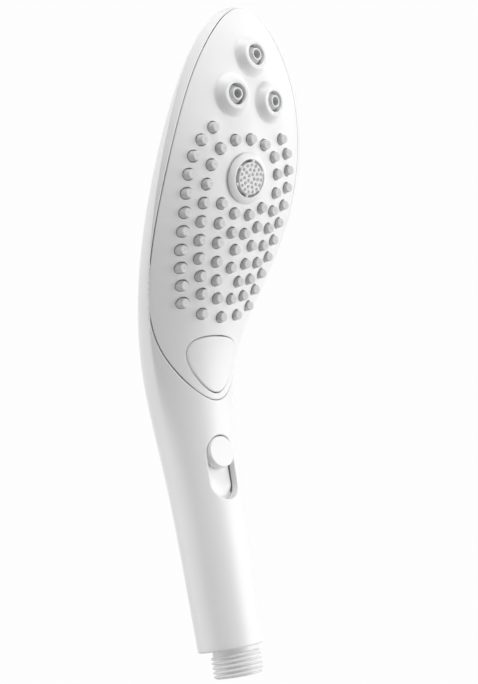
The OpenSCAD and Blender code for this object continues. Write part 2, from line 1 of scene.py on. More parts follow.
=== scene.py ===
"""The looks of a handheld shower head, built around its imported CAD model.

Shapes are worked out in millimetres in the CAD's frame and written as metres: +Z runs up the
handle, the spray face looks towards -Y, and the origin is at the lower end of the hose thread.
"""
import json
import math

import bpy
import numpy as np
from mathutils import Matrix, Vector
from mathutils.geometry import delaunay_2d_cdt
from mathutils.kdtree import KDTree


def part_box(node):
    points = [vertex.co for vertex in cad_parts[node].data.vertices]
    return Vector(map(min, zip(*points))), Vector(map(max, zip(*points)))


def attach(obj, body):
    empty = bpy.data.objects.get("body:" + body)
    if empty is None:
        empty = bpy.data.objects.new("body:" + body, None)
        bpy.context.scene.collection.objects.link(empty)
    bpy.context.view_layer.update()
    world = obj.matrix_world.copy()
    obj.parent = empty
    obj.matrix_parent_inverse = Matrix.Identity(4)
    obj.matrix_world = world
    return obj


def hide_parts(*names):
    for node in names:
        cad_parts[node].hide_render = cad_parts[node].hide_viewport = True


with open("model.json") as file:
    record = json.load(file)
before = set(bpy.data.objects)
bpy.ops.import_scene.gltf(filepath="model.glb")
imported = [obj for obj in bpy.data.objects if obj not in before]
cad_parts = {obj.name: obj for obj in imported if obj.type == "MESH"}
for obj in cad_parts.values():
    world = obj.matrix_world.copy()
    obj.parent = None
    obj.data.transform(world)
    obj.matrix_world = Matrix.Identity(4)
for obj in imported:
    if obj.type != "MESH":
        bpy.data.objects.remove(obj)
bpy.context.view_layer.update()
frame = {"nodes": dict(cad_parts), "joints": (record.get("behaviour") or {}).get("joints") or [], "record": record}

MM = 0.001

# ---- Sizes of the moulded body, as in the CAD model ----

# Rows of a cubic B-spline, evenly spaced in height: half width, middle line, depth in front and behind
LINES = [
    [13, 0, 13, 13], [13.5, 0, 13.5, 13.5], [14, 0, 14, 14], [14.5, 0, 14.5, 14.5],
    [15, 0, 14.5, 16.5], [18, -1.5, 14.5, 20], [24, -8.5, 14, 24], [32.5, -24.5, 13.5, 26],
    [40, -42.5, 12, 25.5], [44, -56, 9.5, 23], [46.5, -65.5, 8, 20], [48.5, -71.5, 8, 16],
    [50, -73, 8.5, 12],
]
HANDLE_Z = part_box("body_shell")[0].z / MM
TOP_Z = 261.0
PITCH = (TOP_Z - HANDLE_Z) / 10
DOME_Z = 150.5
HANDLE_BACK = 2.4
FLAT_FROM, FLAT_OVER, FLAT_POWER = 89.0, 60.0, 0.9
WALL = 2.4
PLATE_T = 2.0
SEAM_GAP = 0.3

# Right halves of closed outlines on the front, as B-spline control points [x, z], lowest first
PLATE = [[0, 101.5], [21, 129], [32, 157.5], [37, 185], [33.5, 217], [23, 243.5], [0, 269]]
BUTTON = [[0, 111.5], [8, 118], [14, 129], [12.5, 135.5], [0, 136]]
MAT = [[0, 134], [17, 139], [27, 160], [33, 186], [32, 206], [18, 217], [0, 213]]
FACE_BOX = (-40, 105), (40, 265)
BUTTON_LEAN = 18.0
BUTTON_Z = 125.0

# Rows of nubs on the right of the middle
OUTER_ROW = [[0.5, 217], [21, 212], [28.5, 197], [25.5, 180], [24, 164.5], [17, 149], [16.5, 133.5]]
SECOND_ROW = [[-14, 204], [-1, 209], [17.5, 204.5], [19.5, 189.5], [18.5, 177], [16.5, 164],
              [10.5, 152], [9, 138]]
THIRD_ROW = [[9, 220], [13, 182.5], [5, 149.5], [-10.5, 118.5]]
LOOSE_PAIRS = [[4, 180], [3.4, 173.2], [9.4, 144.4]]
MIDDLE_NUBS = [[0, 207.4], [0, 167.3], [0, 160.9], [0, 143]]
NUB_R, NUB_TIP_R, NUB_H, NUB_GAP = 2.1, 1.8, 2.2, 0.4
NUB_LEAN = math.radians(16)
NUB_AXIS = (0, -math.cos(NUB_LEAN), -math.sin(NUB_LEAN))

BOSS_H = 3.2
BOSS_TOP_R, BOSS_FOOT_R = 5.5, 9.0
CUP_R, CUP_BORE = 4.9, 4.25
JET_HOLE_R = 9.7
SLOT_R, SLOT_LIP_R = 7.75, 7.3
ISLAND_R, ISLAND_FRONT = 5.7, 8.0
KNOB_TOP_Z, KNOB_TRAVEL = 89.0, 12.0
KNOB_R, KNOB_FRONT_R, KNOB_RAISE = 6.75, 6.4, 0.4


# ---- Curves and surfaces ----

def b_spline(rows, t):
    rows, t = np.asarray(rows, float), np.asarray(t, float)
    i = np.clip(np.floor(t).astype(int), 0, len(rows) - 4)
    u = (t - i)[..., None]
    return ((1 - u) ** 3 * rows[i] + (3 * u ** 3 - 6 * u * u + 4) * rows[i + 1]
            + (-3 * u ** 3 + 3 * u * u + 3 * u + 1) * rows[i + 2] + u ** 3 * rows[i + 3]) / 6


def ease(t):
    t = np.clip(t, 0, 1)
    return t * t * (3 - 2 * t)


def section(z):
    """Half width, middle line, front depth and back depth of the body at height z."""
    s = b_spline(LINES, (z - HANDLE_Z) / PITCH)
    dome = np.clip((z - DOME_Z) / (TOP_Z - DOME_Z), 0, 1)
    k = np.sqrt(np.maximum(0, 1 - dome ** 2))
    return s[..., 0] * k, s[..., 1] + HANDLE_BACK, s[..., 2] * k, s[..., 3] * k


def body_at(p):
    """Points of the body's surface at p = (turn from the front's middle, height)."""
    turn, z = p[..., 0], p[..., 1]
    w, mid, front, back = section(z)
    c = np.cos(turn)
    power = 1 + 2 * (FLAT_POWER - 0.5) * ease((z - FLAT_FROM) / FLAT_OVER)
    y = np.where(c >= 0, mid - front * np.abs(c) ** power, mid + back * np.abs(c))
    return np.stack([w * np.sin(turn), y, z], -1)


def front_at(p):
    """Points of the front surface at p = (x, z)."""
    x, z = p[..., 0], p[..., 1]
    w, mid, front, _ = section(z)
    u = np.minimum(1, np.abs(x) / w)
    power = 0.5 + (FLAT_POWER - 0.5) * ease((z - FLAT_FROM) / FLAT_OVER)
    return np.stack([x, mid - front * np.maximum(0, 1 - u * u) ** power, z], -1)


def normals(surface, p, step, squeeze=1.0):
    """Outward unit normals of a surface, from small steps along its two parameters."""
    q = p * np.array([squeeze, 1.0])
    across, up = np.array([step[0], 0.0]), np.array([0.0, step[1]])
    d = np.cross(surface(q + across) - surface(q - across), surface(q + up) - surface(q - up))
    return d / np.linalg.norm(d, axis=-1, keepdims=True)


def under_body(p, depth):
    return body_at(p) - np.asarray(depth, float)[..., None] * normals(body_at, p, (0.01, 0.05))


def front_normals(p):
    return normals(front_at, p, (0.2, 0.2), 0.97)


def under_front(p, depth):
    return front_at(p) - np.asarray(depth, float)[..., None] * front_normals(p)


# ---- Flat loops ----

def resample(loop, step):
    """A closed loop with points about a step apart."""
    closed = np.vstack([loop, loop[:1]])
    run = np.concatenate([[0], np.cumsum(np.linalg.norm(np.diff(closed, axis=0), axis=1))])
    n = max(12, 2 * round(run[-1] / step / 2))
    at = np.arange(n) * run[-1] / n
    return np.stack([np.interp(at, run, closed[:, k]) for k in (0, 1)], -1)


def outline(control, step):
    """Closed anticlockwise loop from the right half's control points."""
    c = np.asarray(control, float)
    mirror = np.array([-1.0, 1.0])
    rows = np.vstack([c[1] * mirror, c, c[-2] * mirror])
    right = b_spline(rows, np.linspace(0, len(c) - 1, 60 * len(c)))
    return resample(np.vstack([right, (right * mirror)[-2:0:-1]]), step)


def offset(loop, by):
    """A closed anticlockwise loop moved outwards."""
    along = np.roll(loop, -1, axis=0) - np.roll(loop, 1, axis=0)
    out = np.stack([along[:, 1], -along[:, 0]], -1)
    return loop + by * out / np.linalg.norm(out, axis=1, keepdims=True)


def circle(r, n, middle=(0.0, 0.0)):
    a = np.arange(n) * 2 * np.pi / n
    return np.stack([r * np.cos(a), r * np.sin(a)], -1) + np.asarray(middle, float)


def stadium(r, low, high, step):
    """Upright slot outline between two centres' heights."""
    a = np.linspace(-np.pi, 0, max(8, round(np.pi * r / step)))
    foot = np.stack([r * np.cos(a), low + r * np.sin(a)], -1)
    return resample(np.vstack([foot, np.array([0, low + high]) - foot]), step)


def inside(points, loop):
    """Which points lie in a closed loop."""
    x, z = points[:, 0], points[:, 1]
    result = np.zeros(len(points), bool)
    for (x0, z0), (x1, z1) in zip(loop, np.roll(loop, -1, axis=0)):
        crosses = (z0 > z) != (z1 > z)
        if z0 != z1:
            result ^= crosses & (x < (x1 - x0) * (z - z0) / (z1 - z0) + x0)
    return result


def hexagons(low, high, step):
    """Triangular grid of points over a rectangle."""
    rise = step * math.sqrt(3) / 2
    rows = []
    for k, z in enumerate(np.arange(low[1], high[1], rise)):
        x = np.arange(low[0] + (k % 2) * step / 2, high[0], step)
        rows.append(np.stack([x, np.full(len(x), z)], -1))
    return np.vstack(rows)


# ---- Meshes ----

def solid(name, vertices, faces, sharp=40):
    """A smooth-shaded mesh object from points in millimetres."""
    mesh = bpy.data.meshes.new(name)
    mesh.from_pydata([tuple(v) for v in np.asarray(vertices) * MM], [], faces)
    mesh.validate()
    mesh.shade_smooth()
    mesh.set_sharp_from_angle(angle=math.radians(sharp))
    piece = bpy.data.objects.new(name, mesh)
    bpy.context.scene.collection.objects.link(piece)
    return piece


class Sheet:
    """A curved sheet with rounded edges, triangulated in the chart of its two parameters."""

    def __init__(self, scale=(1.0, 1.0)):
        self.scale = np.array(scale)
        self.params, self.depths, self.edges = [], [], []
        self.outer, self.holes = None, []
        self.count = 0

    def add(self, params, depth=0.0, closed=False):
        n = len(params)
        self.params.append(params)
        self.depths.append(np.full(n, float(depth)))
        if closed:
            first = self.count
            self.edges += [(first + i, first + (i + 1) % n) for i in range(n)]
        self.count += n

    def rim(self, row_at, radius, steps, hole):
        """Rows of a rounded edge: row_at(s) is the loop moved s into the sheet."""
        for j in range(steps + 1):
            a = math.pi / 2 * (1 - j / steps)
            row = row_at(radius * (1 - math.sin(a)))
            self.add(row, radius * (1 - math.cos(a)), closed=True)
            if j == 0 and hole:
                self.holes.append(row * self.scale)
            elif j == 0:
                self.outer = row * self.scale

    def fill(self, params, clear):
        """Points between the loops, left out where they come close to one."""
        flat = params * self.scale
        keep = np.ones(len(flat), bool)
        if self.outer is not None:
            keep &= inside(flat, self.outer)
        for hole in self.holes:
            keep &= ~inside(flat, hole)
        known = np.vstack(self.params) * self.scale
        tree = KDTree(len(known))
        for i, (a, b) in enumerate(known):
            tree.insert((a, b, 0), i)
        tree.balance()
        near = np.array([keep[i] and tree.find((a, b, 0))[2] < clear for i, (a, b) in enumerate(flat)])
        self.add(params[keep & ~near])

    def triangles(self):
        flat = np.vstack(self.params) * self.scale
        _, _, faces, origin, _, _ = delaunay_2d_cdt(
            [Vector(p) for p in flat], self.edges, [], 0, 1e-6)
        back = np.array([o[0] if o else -1 for o in origin])
        tris = back[np.array([f for f in faces if len(f) == 3])]
        tris = tris[(tris >= 0).all(1)]
        middle = flat[tris].mean(1)
        keep = np.ones(len(tris), bool)
        if self.outer is not None:
            keep &= inside(middle, self.outer)
        for hole in self.holes:
            keep &= ~inside(middle, hole)
        return tris[keep]

    def build(self, name, place, thickness, join=None, poles=()):
        """place(params, depth, top) gives the points. join maps twin vertices onto one."""
        params, depth = np.vstack(self.params), np.concatenate(self.depths)
        tris = self.triangles()
        if join is not None:
            tris = join(params)[tris]
            tris = tris[(tris != np.roll(tris, 1, axis=1)).all(1)]
        top = place(params, depth, True)
        under = place(params, np.full(len(params), float(thickness)), False)
        faces = [tuple(t) for t in tris]
        n = len(params)
        extra_top, extra_under = [], []
        for ring, tip, low_tip in poles:
            k = n + len(extra_top)
            faces += [(ring[i], ring[(i + 1) % len(ring)], k) for i in range(len(ring))]
            extra_top.append(tip)
            extra_under.append(low_tip)
        if extra_top:
            top, under = np.vstack([top, extra_top]), np.vstack([under, extra_under])
        shift = len(top)
        used = {}
        for f in faces:
            for a, b in zip(f, f[1:] + f[:1]):
                used[(a, b)] = used.get((a, b), 0) + 1
        rim = [(a, b) for a, b in used if (b, a) not in used]
        faces += [(f[2] + shift, f[1] + shift, f[0] + shift) for f in faces]
        faces += [(b, a, a + shift, b + shift) for a, b in rim]
        return solid(name, *compact(np.vstack([top, under]), faces))


def compact(vertices, faces):
    """Drops vertices that no face uses."""
    used = sorted({v for f in faces for v in f})
    index = {v: i for i, v in enumerate(used)}
    return vertices[used], [tuple(index[v] for v in f) for f in faces]


def soften(profile, radii, steps=4):
    """Rounds the inner corners of a profile of (r, h) points, each by its own radius."""
    p = np.asarray(profile, float)
    result = [p[0]]
    for i in range(1, len(p) - 1):
        before, after = p[i - 1] - p[i], p[i + 1] - p[i]
        reach = min(radii[i - 1], 0.45 * np.linalg.norm(before), 0.45 * np.linalg.norm(after))
        if reach < 1e-6:
            result.append(p[i])
            continue
        a = p[i] + reach * before / np.linalg.norm(before)
        b = p[i] + reach * after / np.linalg.norm(after)
        for t in np.linspace(0, 1, steps + 1):
            result.append((1 - t) ** 2 * a + 2 * t * (1 - t) * p[i] + t * t * b)
    result.append(p[-1])
    return np.array(result)


def lathe_data(profile, segments, closed):
    """Vertices and faces of a turned shape. Points with r = 0 become poles."""
    vertices, rings = [], []
    for r, h in profile:
        if r < 1e-9:
            rings.append([len(vertices)])
            vertices.append((0.0, 0.0, h))
        else:
            rings.append(list(range(len(vertices), len(vertices) + segments)))
            for k in range(segments):
                a = 2 * math.pi * k / segments
                vertices.append((r * math.cos(a), r * math.sin(a), h))
    faces = []
    pairs = list(zip(rings, rings[1:])) + ([(rings[-1], rings[0])] if closed else [])
    for lower, upper in pairs:
        for k in range(segments):
            m = (k + 1) % segments
            if len(lower) == 1 and len(upper) > 1:
                faces.append((lower[0], upper[m], upper[k]))
            elif len(upper) == 1 and len(lower) > 1:
                faces.append((lower[k], lower[m], upper[0]))
            elif len(lower) > 1:
                faces.append((lower[k], lower[m], upper[m], upper[k]))
    return np.array(vertices), faces


def merged(parts):
    """One vertex list and face list from several."""
    vertices, faces, shift = [], [], 0
    for v, f in parts:
        vertices.append(v)
        faces += [tuple(i + shift for i in face) for face in f]
        shift += len(v)
    return np.vstack(vertices), faces


def taken(piece):
    """The vertices and faces of a mesh object, which is then removed."""
    vertices = np.array([v.co for v in piece.data.vertices]) / MM
    faces = [tuple(p.vertices) for p in piece.data.polygons]
    bpy.data.objects.remove(piece)
    return vertices, faces


def turned(data, a):
    """A shape turned about the local Z axis."""
    v, f = data
    c, d = math.cos(a), math.sin(a)
    return np.column_stack([v[:, 0] * c - v[:, 1] * d, v[:, 0] * d + v[:, 1] * c, v[:, 2]]), f


def band(rows, closed):
    """Faces between rows of equal length: the last is joined to the first, or both ends are capped."""
    n, count = len(rows[0]), len(rows)
    faces = []
    for j in range(count if closed else count - 1):
        m = (j + 1) % count
        faces += [(j * n + k, j * n + (k + 1) % n, m * n + (k + 1) % n, m * n + k) for k in range(n)]
    if not closed:
        faces.append(tuple(range((count - 1) * n, count * n)))
        faces.append(tuple(range(n - 1, -1, -1)))
    return np.vstack(rows), faces


def box_data(low, high, round_off):
    """A block with chamfered upright edges."""
    (x0, y0, z0), (x1, y1, z1) = low, high
    c = round_off
    foot = [(x0 + c, y0), (x1 - c, y0), (x1, y0 + c), (x1, y1 - c), (x1 - c, y1), (x0 + c, y1),
            (x0, y1 - c), (x0, y0 + c)]
    mid = np.array([(x0 + x1) / 2, (y0 + y1) / 2])
    rows = [(0.0, z0), (0.0, z1 - c), (c, z1)]
    vertices = []
    for inset, z in rows:
        for p in foot:
            d = mid - np.array(p)
            q = np.array(p) + inset * np.sign(d)
            vertices.append((q[0], q[1], z))
    n = len(foot)
    faces = [tuple(range(n - 1, -1, -1)), tuple(range(2 * n, 3 * n))]
    for row in (0, 1):
        faces += [(row * n + k, row * n + (k + 1) % n, (row + 1) * n + (k + 1) % n, (row + 1) * n + k)
                  for k in range(n)]
    return np.array(vertices), faces


class Seat:
    """A frame on the face: local Z points out of it, local Y up it."""

    def __init__(self, origin, axis):
        self.origin = np.asarray(origin, float)
        self.z = np.asarray(axis, float) / np.linalg.norm(axis)
        self.x = np.cross([0, 0, 1], self.z)
        self.x /= np.linalg.norm(self.x)
        self.y = np.cross(self.z, self.x)

    def world(self, local):
        local = np.asarray(local, float)
        return (self.origin + local[..., :1] * self.x + local[..., 1:2] * self.y
                + local[..., 2:3] * self.z)

    def local(self, world):
        d = world - self.origin
        return np.stack([d @ self.x, d @ self.y, d @ self.z], -1)


def joint_seat(name):
    joint = next(j for j in frame["joints"] if j["name"] == name)
    return Seat(np.array(joint["pos_m"]) / MM, joint["axis"])


JETS = joint_seat("selector_turn")
BOSSES = {b: joint_seat("whirl_spin_" + b) for b in ("top", "left", "right")}


# ---- Materials ----

def new_material(name):
    material = bpy.data.materials.new(name)
    material.use_nodes = True
    nodes, links = material.node_tree.nodes, material.node_tree.links
    shader = nodes["Principled BSDF"]
    place = nodes.new("ShaderNodeTexCoord")
    return material, nodes, links, shader, place.outputs["Object"]


def noise(nodes, links, place, scale, detail=2.0, rough=0.5):
    node = nodes.new("ShaderNodeTexNoise")
    node.inputs["Scale"].default_value = scale
    node.inputs["Detail"].default_value = detail
    node.inputs["Roughness"].default_value = rough
    links.new(place, node.inputs["Vector"])
    return node.outputs["Fac"]


def spread(nodes, links, value, low, high):
    """A noise value mapped to a range of numbers."""
    node = nodes.new("ShaderNodeMapRange")
    node.inputs["From Min"].default_value = 0.3
    node.inputs["From Max"].default_value = 0.7
    node.inputs["To Min"].default_value = low
    node.inputs["To Max"].default_value = high
    links.new(value, node.inputs["Value"])
    return node.outputs["Result"]


def tinted(nodes, links, value, colour, change):
    """A colour that a noise value makes slightly lighter or darker."""
    node = nodes.new("ShaderNodeMix")
    node.data_type = "RGBA"
    node.inputs["A"].default_value = (*[c * (1 - change) for c in colour], 1)
    node.inputs["B"].default_value = (*[min(1, c * (1 + change)) for c in colour], 1)
    links.new(value, node.inputs["Factor"])
    return node.outputs["Result"]


def bumped(nodes, links, value, height, shader):
    node = nodes.new("ShaderNodeBump")
    node.inputs["Strength"].default_value = 1.0
    node.inputs["Distance"].default_value = height
    links.new(value, node.inputs["Height"])
    links.new(node.outputs["Normal"], shader.inputs["Normal"])


def moulded(name, colour, roughness, grain=2600, height=0.000004, change=0.012, soft=0.0, coat=0.0):
    """Moulded plastic: a fine spark-eroded grain, slight flow marks and uneven gloss."""
    material, nodes, links, shader, place = new_material(name)
    flow = noise(nodes, links, place, 35, 3.0)
    fine = noise(nodes, links, place, grain, 3.0, 0.6)
    links.new(tinted(nodes, links, flow, colour, change), shader.inputs["Base Color"])
    gloss = noise(nodes, links, place, 240, 4.0)
    links.new(spread(nodes, links, gloss, roughness - 0.04, roughness + 0.04), shader.inputs["Roughness"])
    bumped(nodes, links, fine, height, shader)
    shader.inputs["IOR"].default_value = 1.5
    if soft > 0:
        shader.inputs["Subsurface Weight"].default_value = soft
        shader.inputs["Subsurface Radius"].default_value = (0.8, 0.8, 0.8)
        shader.inputs["Subsurface Scale"].default_value = 0.001
    if coat > 0:
        shader.inputs["Coat Weight"].default_value = coat
        shader.inputs["Coat Roughness"].default_value = 0.2
    return material


def silicone(name, colour):
    """Soft silicone rubber: matt, slightly see-through, with a bloom of fine dust."""
    material = moulded(name, colour, 0.52, grain=3800, height=0.000006, change=0.03, soft=0.12)
    shader = material.node_tree.nodes["Principled BSDF"]
    shader.inputs["Sheen Weight"].default_value = 0.12
    shader.inputs["Sheen Roughness"].default_value = 0.45
    return material


def rubber(name, colour):
    return moulded(name, colour, 0.62, grain=3000, height=0.000008, change=0.12)


def steel(name):
    """Drawn stainless steel with fine scratches along Z."""
    material, nodes, links, shader, place = new_material(name)
    stretch = nodes.new("ShaderNodeMapping")
    stretch.inputs["Scale"].default_value = (1.0, 1.0, 0.05)
    links.new(place, stretch.inputs["Vector"])
    scratches = noise(nodes, links, stretch.outputs["Vector"], 6000, 4.0, 0.7)
    links.new(tinted(nodes, links, scratches, (0.6, 0.61, 0.63), 0.06), shader.inputs["Base Color"])
    links.new(spread(nodes, links, scratches, 0.24, 0.38), shader.inputs["Roughness"])
    bumped(nodes, links, scratches, 0.000003, shader)
    shader.inputs["Metallic"].default_value = 1.0
    return material


MATERIALS = {
    "shell_white": moulded("satin_white_shell", (0.86, 0.86, 0.865), 0.36, coat=0.15),
    "plate_white": moulded("satin_white_plate", (0.87, 0.87, 0.873), 0.42),
    "nub_grey": silicone("grey_silicone", (0.62, 0.62, 0.625)),
    "jet_grey": moulded("grey_jet_plastic", (0.76, 0.76, 0.765), 0.4, change=0.02),
    "cup_grey": moulded("cup_plastic", (0.85, 0.85, 0.855), 0.3),
    # The rotor's colour is partly its own grey plastic and partly painted shade: it is made darker so that its
    # deep bore reads darker.
    "rotor_grey": moulded("rotor_plastic_with_painted_bore_shade", (0.7, 0.705, 0.71), 0.38, change=0.03),
    "inner_plastic": moulded("inner_plastic", (0.62, 0.62, 0.6), 0.5, grain=1500, height=0.00001,
                             change=0.05),
    "steel": steel("drawn_steel"),
    "selector_blue": moulded("selector_plastic", (0.2, 0.29, 0.42), 0.45, change=0.05),
    "linkage_grey": moulded("linkage_plastic", (0.15, 0.16, 0.18), 0.48, change=0.06),
    "valve_grey": moulded("valve_plastic", (0.4, 0.42, 0.44), 0.42, change=0.04),
    "seal_black": rubber("seal_rubber", (0.02, 0.02, 0.021)),
    "poppet_orange": rubber("poppet_rubber", (0.65, 0.13, 0.03)),
}


def finish_piece(piece, slot_name, body, *nodes):
    """Gives a piece its material and body, and hides the CAD nodes that it stands for."""
    piece.data.materials.clear()
    piece.data.materials.append(MATERIALS[slot_name])
    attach(piece, body)
    if nodes:
        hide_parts(*nodes)
    return piece


# ---- Body ----

CHART_R = 35.0


def turn_of(loop):
    """A loop of (x, z) on the front as (turn, z)."""
    w = section(loop[:, 1])[0]
    return np.stack([np.arcsin(np.clip(loop[:, 0] / w, -1, 1)), loop[:, 1]], -1)


def below_crown(loop):
    """Eases a loop's top in under the crown, where the seam runs over it."""
    start, end = 260.0, 260.95
    over = np.maximum(0, loop[:, 1] - start)
    z = np.where(over > 0, start + (end - start) * (1 - np.exp(-over / (end - start))), loop[:, 1])
    return np.stack([loop[:, 0], z], -1)


def make_shell():
    """The handle and the back of the head: one sheet round the body, closed by a pole at the top."""
    edge_r, end_r, end_steps, columns = 0.35, 0.7, 5, 132
    sheet = Sheet(scale=(CHART_R, 1.0))
    seam = offset(outline(PLATE, 1.1), SEAM_GAP)
    sheet.rim(lambda s: turn_of(below_crown(offset(seam, s))), edge_r, 4, hole=True)
    slot = stadium(SLOT_LIP_R, KNOB_TOP_Z - KNOB_TRAVEL, KNOB_TOP_Z, 0.5)
    sheet.rim(lambda s: turn_of(offset(slot, s)), edge_r, 4, hole=True)
    turns = np.linspace(-np.pi, np.pi, columns + 1)
    first_rows = []
    for j in range(end_steps + 1):
        a = math.pi / 2 * (1 - j / end_steps)
        z = HANDLE_Z + end_r * (1 - math.sin(a))
        row = np.stack([turns, np.full(len(turns), z)], -1)
        first_rows.append(sheet.count)
        sheet.add(row, end_r * (1 - math.cos(a)))
    for k in (0, columns):
        sheet.edges += [(a + k, b + k) for a, b in zip(first_rows, first_rows[1:])]
    crown_z = DOME_Z + (TOP_Z - DOME_Z) * math.sin(math.radians(88.6))
    first = sheet.count
    sheet.add(np.stack([turns, np.full(len(turns), crown_z)], -1))
    sheet.edges += [(first + k, first + k + 1) for k in range(columns)]
    handle_rows = np.arange(HANDLE_Z + 1.6, DOME_Z, 1.7)
    dome_rows = DOME_Z + (TOP_Z - DOME_Z) * np.sin(np.radians(np.linspace(0, 86.5, 96)))
    grid = np.stack(np.meshgrid(turns, np.concatenate([handle_rows, dome_rows])), -1).reshape(-1, 2)
    edge_columns = np.abs(np.abs(grid[:, 0]) - np.pi) < 1e-9
    sheet.add(grid[edge_columns])
    sheet.fill(grid[~edge_columns], 0.75)

    def join(params):
        """Sends each vertex of the right edge of the chart to its twin on the left."""
        to = np.arange(len(params))
        left = {round(p[1], 5): i for i, p in enumerate(params) if p[0] < -np.pi + 1e-9}
        for i, p in enumerate(params):
            if p[0] > np.pi - 1e-9:
                to[i] = left[round(p[1], 5)]
        return to

    params = np.vstack(sheet.params)
    top_ring = [i for i, p in enumerate(params) if abs(p[1] - crown_z) < 1e-9 and p[0] < np.pi - 1e-9]
    top_ring.sort(key=lambda i: params[i][0])
    middle = section(np.array(TOP_Z - 1e-3))[1]
    pole = (top_ring, (0.0, float(middle), TOP_Z), (0.0, float(middle), TOP_Z - WALL))
    piece = sheet.build("shell", lambda p, d, top: under_body(p, d), WALL, join, [pole])
    finish_piece(piece, "shell_white", "housing", "body_shell")


# ---- Front plate ----

def boss_lift(points):
    """Raises the face to the whirl nozzles' bosses, with a smooth foot and a rounded top."""
    for seat in BOSSES.values():
        local = seat.local(points)
        rho = np.hypot(local[:, 0], local[:, 1])
        lift = ease((BOSS_FOOT_R - rho) / (BOSS_FOOT_R - BOSS_TOP_R))
        near = rho < BOSS_FOOT_R
        new = local[near].copy()
        new[:, 2] += (BOSS_H - new[:, 2]) * lift[near]
        points[near] = seat.world(new)
    return points


def face_circle(seat, r, n):
    """A circle about a seat's axis, seen along Y, as (x, z)."""
    return seat.world(np.column_stack([circle(r, n), np.zeros(n)]))[:, [0, 2]]


def landed(seat, r, n):
    """A circle about a seat's axis, carried along the axis onto the front, as (x, z)."""
    points = seat.world(np.column_stack([circle(r, n), np.zeros(n)]))
    for _ in range(5):
        gap = points[:, 1] - front_at(points[:, [0, 2]])[:, 1]
        points = points - (gap / seat.z[1])[:, None] * seat.z
    return points[:, [0, 2]]


def nub_places():
    """The middles of all nubs as (x, z): rows on the right, their mirror images, and the middle ones."""
    rows = [b_spline(c, np.linspace(0, len(c) - 3, n))
            for c, n in ((OUTER_ROW, 11), (SECOND_ROW, 11), (THIRD_ROW, 6))]
    right = np.vstack([rows[0], rows[1][1:], rows[2], LOOSE_PAIRS])
    return np.vstack([right, right * np.array([-1.0, 1.0]), MIDDLE_NUBS])


def make_plate():
    """The front plate with its bosses and the openings for button, jets, cups and nubs."""
    sheet = Sheet()
    edge = outline(PLATE, 1.1)
    sheet.rim(lambda s: offset(edge, -s), 0.35, 4, hole=False)
    opening = offset(outline(BUTTON, 0.7), 0.35)
    sheet.rim(lambda s: offset(opening, s), 0.3, 4, hole=True)
    sheet.rim(lambda s: face_circle(JETS, JET_HOLE_R + s, 96), 0.2, 2, hole=True)
    for seat in BOSSES.values():
        sheet.rim(lambda s: face_circle(seat, CUP_R + 0.03 + s, 72), 0.08, 2, hole=True)
    for place in nub_places():
        seat = Seat(front_at(place), NUB_AXIS)
        sheet.rim(lambda s: landed(seat, NUB_R + NUB_GAP + s, 28), 0.1, 2, hole=True)
        sheet.add(landed(seat, NUB_R + NUB_GAP + 0.6, 20))
    for seat in BOSSES.values():
        for r in np.arange(CUP_R + 0.35, BOSS_FOOT_R + 0.7, 0.3):
            sheet.add(face_circle(seat, r, 72))
    for s in (0.9, 1.9):
        sheet.add(offset(edge, -s))
        sheet.add(offset(opening, s))
        sheet.add(face_circle(JETS, JET_HOLE_R + 0.3 + s, 72))
    sheet.fill(hexagons(*FACE_BOX, 1.5), 0.85)

    def place(params, depth, top):
        if not top:
            return under_front(params, depth)
        return boss_lift(under_front(params, 0 * depth)) - depth[:, None] * front_normals(params)

    piece = sheet.build("face_plate_skin", place, PLATE_T)
    finish_piece(piece, "plate_white", "housing", "face_plate")


def make_nubs():
    """The silicone mat with all its nubs, each with a small outlet in its tip."""
    sheet = Sheet()
    edge = outline(MAT, 3.0)
    sheet.rim(lambda s: offset(edge, -s), 0.2, 1, hole=False)
    sheet.rim(lambda s: face_circle(JETS, JET_HOLE_R + s, 48), 0.2, 1, hole=True)
    sheet.fill(hexagons(*FACE_BOX, 3.0), 1.5)
    mat = sheet.build("mat", lambda p, d, top: under_front(p, d + (PLATE_T + 0.15 if top else 0.0)),
                      PLATE_T + 1.2)
    profile = soften([[0, -PLATE_T - 0.5], [NUB_R, -PLATE_T - 0.5], [NUB_R, -0.3], [NUB_TIP_R, NUB_H],
                      [0.3, NUB_H], [0.22, NUB_H - 0.15], [0, NUB_H - 0.15]],
                     [0.0, 0.5, 0.24, 0.05, 0.05])
    parts = [taken(mat)]
    nub = lathe_data(profile, 28, closed=False)
    for place in nub_places():
        parts.append((Seat(front_at(place), NUB_AXIS).world(nub[0]), nub[1]))
    piece = solid("nozzle_nubs", *merged(parts))
    finish_piece(piece, "nub_grey", "housing", "nozzle_mat")


# ---- Centre jets ----

def seated(seat, data):
    return seat.world(data[0]), data[1]


def make_jet_ring():
    """The raised ring round the jets, with a flat seat and a rounded brow."""
    profile = soften([[7.6, -3.8], [9.5, -3.8], [9.5, 0.02], [10.25, 0.02], [10.25, 0.55], [9.5, 1.2],
                      [8.5, 1.75], [7.85, 1.95], [7.6, 1.7], [7.6, -3.8]],
                     [0.1, 0.05, 0.02, 0.25, 0.6, 0.6, 0.2, 0.2])
    piece = solid("jet_ring_piece", *seated(JETS, lathe_data(profile[:-1], 128, closed=True)))
    finish_piece(piece, "plate_white", "housing", "jet_ring")


